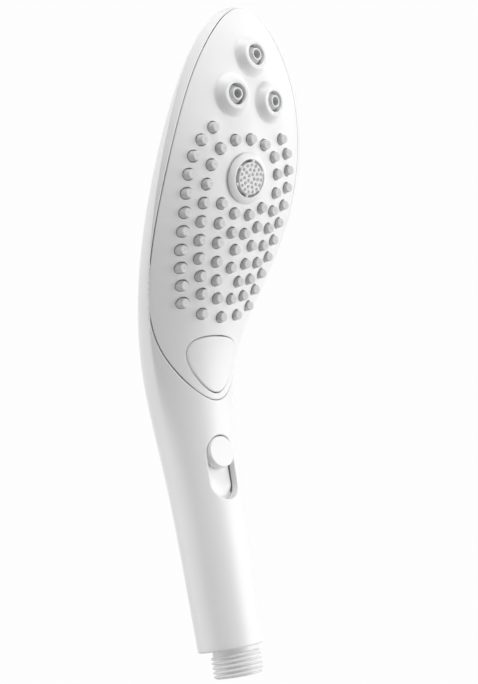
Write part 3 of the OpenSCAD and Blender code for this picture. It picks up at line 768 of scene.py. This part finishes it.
def make_jet_disc():
    """The perforated disc on its six ribs."""
    disc_r, top, bore_r = 6.5, 2.42, 7.58
    sheet = Sheet()
    sheet.rim(lambda s: circle(disc_r - s, 96), 0.3, 4, hole=False)
    spouts = []
    for count, r in ((15, 5.45), (10, 3.6), (5, 1.7)):
        for i in range(count):
            a = 2 * math.pi * i / count
            middle = (r * math.cos(a), r * math.sin(a))
            sheet.rim(lambda s: circle(0.62 + s, 20, middle), 0.1, 2, hole=True)
            spouts.append(middle)
    sheet.fill(hexagons((-disc_r, -disc_r), (disc_r, disc_r), 0.5), 0.3)
    piece = sheet.build("disc", lambda p, d, front: JETS.world(
        np.column_stack([p, (top if front else 0.0) - d])), 3.6)
    parts = [taken(piece)]
    spout = soften([[0, -3.0], [0.7, -3.0], [0.7, 1.5], [0.38, 1.7], [0.33, top], [0.16, top], [0.13, 1.2],
                    [0, 1.2]], [0, 0.05, 0.1, 0.06, 0.05, 0.02])
    spout = lathe_data(spout, 16, closed=False)
    for x, y in spouts:
        parts.append((JETS.world(spout[0] + np.array([x, y, 0])), spout[1]))
    floor = soften([[6.4, -3.6], [bore_r, -3.6], [bore_r, -1.0], [6.4, -1.0], [6.4, -3.6]],
                   [0.05, 0.1, 0.05])
    parts.append(seated(JETS, lathe_data(floor[:-1], 96, closed=True)))
    for k in range(6):
        rib = box_data((6.3, -0.6, -1.2), (bore_r, 0.6, 2.0), 0.12)
        parts.append(seated(JETS, turned(rib, math.radians(25 + 60 * k))))
    piece = solid("jet_disc_piece", *merged(parts))
    finish_piece(piece, "jet_grey", "housing", "jet_disc")


# ---- Whirl nozzles ----

def make_whirl(which):
    """A cup in its boss, and the rotor with its bore and three vanes."""
    seat = BOSSES[which]
    cup = soften([[CUP_BORE, -3.9], [5.8, -3.9], [5.8, -2.7], [CUP_R, -2.7], [CUP_R, BOSS_H],
                  [CUP_BORE, BOSS_H], [CUP_BORE, -3.9]], [0.05, 0.05, 0.05, 0.06, 0.3])
    piece = solid("cup_" + which, *seated(seat, lathe_data(cup[:-1], 96, closed=True)))
    finish_piece(piece, "cup_grey", "housing", "whirl_cup_" + which)
    tip = BOSS_H + 0.2
    rotor = soften([[0, -3.6], [3.85, -3.6], [3.85, 0.4], [2.5, BOSS_H - 0.2], [2.5, tip], [1.8, tip],
                    [1.75, -2.4], [0, -2.4]], [0.1, 0.2, 0.1, 0.12, 0.12, 0.1])
    parts = [seated(seat, lathe_data(rotor, 72, closed=False))]
    for k in range(3):
        vane = box_data((2.6, -0.35, -1.0), (3.75, 0.35, 0.9), 0.1)
        parts.append(seated(seat, turned(vane, math.radians(205 + 120 * k))))
    piece = solid("rotor_" + which, *merged(parts))
    finish_piece(piece, "rotor_grey", "whirl_" + which, "whirl_rotor_" + which)


# ---- Button ----

def make_button():
    """The teardrop button with rounded edges and its two stems."""
    sheet = Sheet()
    edge = outline(BUTTON, 0.7)
    sheet.rim(lambda s: offset(edge, -s), 0.5, 5, hole=False)
    for s in (0.9, 1.5):
        sheet.add(offset(edge, -s))
    sheet.fill(hexagons((-16, 110), (16, 140), 0.9), 0.6)
    lean = math.radians(BUTTON_LEAN)
    inwards = np.array([0.0, math.cos(lean), math.sin(lean)])

    def place(params, depth, top):
        base = front_at(params)
        proud = -0.4 if top else 0.0
        return base + (depth + proud)[:, None] * inwards

    parts = [taken(sheet.build("button_skin", place, 2.4))]
    seat = Seat(front_at(np.array([0.0, BUTTON_Z])), -inwards)
    stem = soften([[0, -15.2], [1.6, -15.2], [1.6, -2.6], [0, -2.6]], [0.3, 0.0])
    v, f = lathe_data(stem, 32, closed=False)
    for x in (-9.2, 9.2):
        parts.append((seat.world(v + np.array([x, 0, 0])), f))
    piece = solid("select_button_cap", *merged(parts))
    finish_piece(piece, "plate_white", "button", "select_button")


# ---- Flow control ----

def slot_point(x, z, depth):
    """A point in the slot: depth counts forwards from the plane y = 0."""
    return np.stack([x, -depth, z], -1)


def make_liner():
    """The tray of the slot: a wall behind the body's lip and an island with a slit on each side."""
    low, high = KNOB_TOP_Z - KNOB_TRAVEL, KNOB_TOP_Z
    back, lip_under = 5.0, 2.6
    middle_line = stadium(SLOT_R, low, high, 0.4)

    def flat_row(r, depth):
        loop = offset(middle_line, r - SLOT_R)
        return slot_point(loop[:, 0], loop[:, 1], np.full(len(loop), float(depth)))

    def lip_row(r):
        loop = offset(middle_line, r - SLOT_R)
        return np.stack([loop[:, 0], front_at(loop)[:, 1] + lip_under, loop[:, 1]], -1)

    wall = [flat_row(SLOT_R, back), lip_row(SLOT_R), lip_row(SLOT_LIP_R), flat_row(SLOT_LIP_R, back)]
    island = [flat_row(ISLAND_R - inset, depth) for inset, depth in (
        (0, back), (0, ISLAND_FRONT - 0.25), (0.07, ISLAND_FRONT - 0.07), (0.25, ISLAND_FRONT),
        (ISLAND_R - 2.6, ISLAND_FRONT), (ISLAND_R - 0.4, ISLAND_FRONT))]
    parts = [band(wall, True), band(island, False)]
    # Bridges that close the slits at both ends
    turn = np.radians(np.linspace(-140, -40, 25))
    arc = np.stack([np.cos(turn), np.sin(turn)], -1)
    sector = np.vstack([SLOT_LIP_R * arc, (ISLAND_R - 0.3) * arc[::-1]])
    for end, side in ((low, 1), (high, -1)):
        loop = side * sector + np.array([0, end])
        rows = [slot_point(loop[:, 0], loop[:, 1], np.full(len(loop), depth))
                for depth in (back, ISLAND_FRONT - 0.1)]
        parts.append(band(rows, False))
    piece = solid("slot_tray", *merged(parts))
    finish_piece(piece, "shell_white", "housing", "slot_liner")


def make_knob():
    """The round knob in the slot, on two legs that pass through the slits."""
    foot, front = ISLAND_FRONT + 0.4, -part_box("flow_knob")[0].y / MM
    profile = soften([[0, foot], [KNOB_R, foot], [KNOB_R, foot + 1.6], [KNOB_FRONT_R, front],
                      [0, front]], [0.2, 0.3, 0.4], steps=8)
    seat = Seat((0, 0, KNOB_TOP_Z + KNOB_RAISE), (0, -1, 0))
    parts = [seated(seat, lathe_data(profile, 128, closed=False))]
    for x in (-6.1, 6.1):
        leg = box_data((x - 0.2, -1.0, 4.2), (x + 0.2, 1.0, foot + 0.5), 0.02)
        parts.append(seated(seat, leg))
    piece = solid("flow_knob_cap", *merged(parts))
    finish_piece(piece, "shell_white", "flow_slider", "flow_knob")


# ---- Inlet ----

def make_nipple():
    """The hose thread as one helix, with its run-out, flange and bore."""
    crest_r, root_r, pitch, turns = 10.4, 9.25, 1.814, 5.0
    segments, rows = 120, 150
    neck = HANDLE_Z + 0.4
    angles = [2 * math.pi * k / segments for k in range(segments)]

    def radius(a, z):
        """The thread's surface: a rounded tooth that rises at the lower end and fades at the upper."""
        phase = ((z / pitch - a / (2 * math.pi)) % 1.0) * pitch
        gap = min(phase, pitch - phase)
        tooth = 1 - min(max((gap - 0.22) / 0.56, 0), 1)
        tooth = tooth * tooth * (3 - 2 * tooth) * 0.35 + tooth * 0.65
        lead = min(max(z / 0.9, 0), 1)
        fade = min(max((turns * pitch + 0.6 - z) / 1.2, 0), 1)
        return root_r + (crest_r - root_r) * tooth * min(1.0, 0.35 + 0.65 * lead) * fade

    def ring(radius_at, z):
        return [(radius_at(a, z) * math.cos(a), radius_at(a, z) * math.sin(a), z) for a in angles]

    def plain(r, z):
        return ring(lambda *_: r, z)

    bore = (6.5, 22), (6.5, 3.2), (6.7, 3.0), (7.6, 3.0), (7.6, 0.3), (7.9, 0.0), (8.9, 0.0)
    inside = [plain(r, z) for r, z in bore]
    thread = [ring(radius, (HANDLE_Z - 0.6) * j / (rows - 1)) for j in range(rows)]
    parts = [band(inside + thread + [plain(9.25, neck), plain(9.0, neck)], True)]
    flange = soften([[8.8, HANDLE_Z + 0.05], [10.7, HANDLE_Z + 0.05], [10.7, 14], [9.2, 14], [9.2, 40],
                     [6.5, 40], [6.5, 31.5], [3.4, 31.5], [3.4, 22], [6.5, 22], [6.5, 14], [7, 14],
                     [7, 12], [8.8, 12]],
                    [0.2, 0.2, 0.3, 0.4, 0.2, 0.1, 0.1, 0.1, 0.1, 0.1, 0.1, 0.1])
    v, f = lathe_data(flange, 96, closed=True)
    parts.append((v + np.array([0, 1.6, 0]), f))
    piece = solid("hose_inlet", *merged(parts))
    finish_piece(piece, "shell_white", "housing", "inlet_nipple")


# ---- CAD nodes that stay ----

def dress_cad_nodes():
    """Gives every CAD node the material of its slot in the record."""
    slot_of = {s["node"]: s["material_slot"] for s in frame["record"]["subparts"]}
    for node, piece in frame["nodes"].items():
        piece.data.materials.clear()
        piece.data.materials.append(MATERIALS[slot_of[node]])


# ---- Stage ----

CAMERA_AT = (-0.32919, -0.37062, 0.03718)
CAMERA_TURN = (101.336, 9.76, -42.334)
LENS = 62.44
BACKDROP, BACKDROP_ASIDE = 0.985, 0.72


def make_camera():
    """The camera at the viewing angle of the photograph."""
    data = bpy.data.cameras.new("camera")
    data.lens = LENS
    data.sensor_width = 36
    data.clip_end = 20
    camera = bpy.data.objects.new("camera", data)
    camera.rotation_euler = [math.radians(a) for a in CAMERA_TURN]
    camera.location = CAMERA_AT
    bpy.context.scene.collection.objects.link(camera)
    bpy.context.scene.camera = camera
    bpy.context.view_layer.update()
    return camera


def make_floor():
    """A plain pale floor, well below the object and under the main view."""
    reach, drop, sides = 4.0, 1.5, 96
    mesh = bpy.data.meshes.new("floor")
    mesh.from_pydata([(x, y, -drop) for x, y in circle(reach, sides)], [], [tuple(range(sides))])
    floor = bpy.data.objects.new("floor", mesh)
    bpy.context.scene.collection.objects.link(floor)
    material, nodes, links, shader, place = new_material("pale_floor")
    tone = tinted(nodes, links, noise(nodes, links, place, 3, 2.0), (0.8, 0.8, 0.8), 0.01)
    links.new(tone, shader.inputs["Base Color"])
    shader.inputs["Roughness"].default_value = 0.9
    shader.inputs["Specular IOR Level"].default_value = 0.0
    mesh.materials.append(material)


def add_area(name, towards, power):
    """A soft round light, 1 m from the middle of the object and aimed at it."""
    target = Vector((0, -0.02, 0.15))
    data = bpy.data.lights.new(name, "AREA")
    data.shape = "DISK"
    data.size = 0.5
    data.energy = power
    light = bpy.data.objects.new(name, data)
    way = Vector(towards).normalized()
    light.location = target + way
    light.rotation_euler = way.to_track_quat("Z", "Y").to_euler()
    bpy.context.scene.collection.objects.link(light)


def lobe(nodes, links, direction, towards, low, high, strength):
    """Light of the studio's walls that grows from low to high, as a cosine with one direction."""
    dot = nodes.new("ShaderNodeVectorMath")
    dot.operation = "DOT_PRODUCT"
    links.new(direction, dot.inputs[0])
    dot.inputs[1].default_value = Vector(towards).normalized()
    ramp = nodes.new("ShaderNodeMapRange")
    ramp.interpolation_type = "SMOOTHSTEP"
    ramp.inputs["From Min"].default_value = low
    ramp.inputs["From Max"].default_value = high
    ramp.inputs["To Min"].default_value = 0.0
    ramp.inputs["To Max"].default_value = strength
    links.new(dot.outputs["Value"], ramp.inputs["Value"])
    return ramp.outputs["Result"]


def summed(nodes, links, values, start):
    """Values added to a starting number."""
    total = start
    for value in values:
        add = nodes.new("ShaderNodeMath")
        add.operation = "ADD"
        if isinstance(total, float):
            add.inputs[0].default_value = total
        else:
            links.new(total, add.inputs[0])
        links.new(value, add.inputs[1])
        total = add.outputs["Value"]
    return total


def make_light(camera):
    """Soft walls behind and at both sides, and soft lights from the right and from above.

    The camera itself sees a plain pale backdrop in place of the walls."""
    turn = camera.matrix_world.to_3x3()
    right, up, back = turn.col[0], turn.col[1], turn.col[2]
    world = bpy.data.worlds.new("studio")
    world.use_nodes = True
    nodes, links = world.node_tree.nodes, world.node_tree.links
    direction = nodes.new("ShaderNodeTexCoord").outputs["Generated"]
    walls = [lobe(nodes, links, direction, -back, 0.55, 0.85, BACKDROP),
             lobe(nodes, links, direction, right, 0.6, 1.0, 2.4),
             lobe(nodes, links, direction, -right, 0.6, 1.0, 1.65),
             lobe(nodes, links, direction, up + back - right, 0.2, 1.0, 0.36)]
    level = summed(nodes, links, walls, 0.0)
    background = nodes["Background"]
    background.inputs["Color"].default_value = (1, 1, 1, 1)
    behind = lobe(nodes, links, direction, -back, 0.3, 0.85, BACKDROP - BACKDROP_ASIDE)
    seen = summed(nodes, links, [behind], BACKDROP_ASIDE)
    pick = nodes.new("ShaderNodeMapRange")
    links.new(nodes.new("ShaderNodeLightPath").outputs["Is Camera Ray"], pick.inputs["Value"])
    links.new(level, pick.inputs["To Min"])
    links.new(seen, pick.inputs["To Max"])
    links.new(pick.outputs["Result"], background.inputs["Strength"])
    bpy.context.scene.world = world
    add_area("top", up + back * 0.3, 5.2)
    add_area("right", right + back * 0.2, 1.1)
    add_area("right_low", right * 0.9 - up * 0.4 + back * 0.5, 1.35)
    add_area("right_high", right * 0.6 + up * 0.9 + back * 0.4, 0.85)
    bpy.context.scene.view_settings.view_transform = "Standard"


camera = make_camera()
dress_cad_nodes()
make_shell()
make_plate()
make_nubs()
make_jet_ring()
make_jet_disc()
for boss in BOSSES:
    make_whirl(boss)
make_button()
make_liner()
make_knob()
make_nipple()
make_floor()
make_light(camera)
